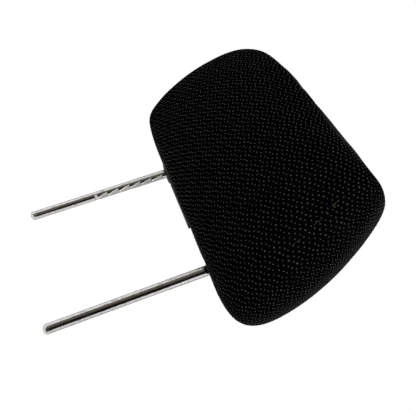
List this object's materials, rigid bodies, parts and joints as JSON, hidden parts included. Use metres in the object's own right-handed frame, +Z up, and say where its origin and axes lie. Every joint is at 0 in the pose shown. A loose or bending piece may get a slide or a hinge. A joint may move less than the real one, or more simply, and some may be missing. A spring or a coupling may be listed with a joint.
{
  "type": "car headrest",
  "caption": "Slim padded headrest in black dotted cloth on a chromed steel hoop, with ratchet notches on one rod, for a car seat back.",
  "frame": {"origin": "midway between the axes of the two rods, level with the lower face of the left rosette, where the rods enter the seat's guides when the headrest is fully down", "axes": "+Z up along the rods towards the cushion, -Y to the face that the head leans on, +X to the right seen from the front"},
  "size_m": [0.2856, 0.1325, 0.3113],
  "materials": {
    "chromed_steel": "bright chrome plating with fine rubbed scratches along the rods",
    "dotted_cloth": "flat knitted cloth with small raised grey dots, slightly worn along the front edge",
    "plain_cloth": "the same flat knitted cloth at the back",
    "seat_foam": "moulded open-cell foam with a dull skin",
    "carrier_plastic": "moulded, fine matt grain",
    "black_plastic": "moulded, satin",
    "zinc_steel": "zinc plated"
  },
  "bodies": {
    "root": {"rod_hoop": "chromed_steel", "carrier_front_shell": "carrier_plastic", "carrier_rear_shell": "carrier_plastic", "carrier_screw_1": "zinc_steel", "carrier_screw_2": "zinc_steel", "carrier_screw_3": "zinc_steel", "carrier_screw_4": "zinc_steel", "foam_front_block": "seat_foam", "foam_rear_block": "seat_foam", "cover_front_panel": "dotted_cloth", "cover_rear_panel": "plain_cloth", "closure_hook_strip": "black_plastic", "closure_catch_strip": "black_plastic", "rod_rosette_left": "black_plastic", "rod_rosette_right": "black_plastic"}
  },
  "joints": []
}
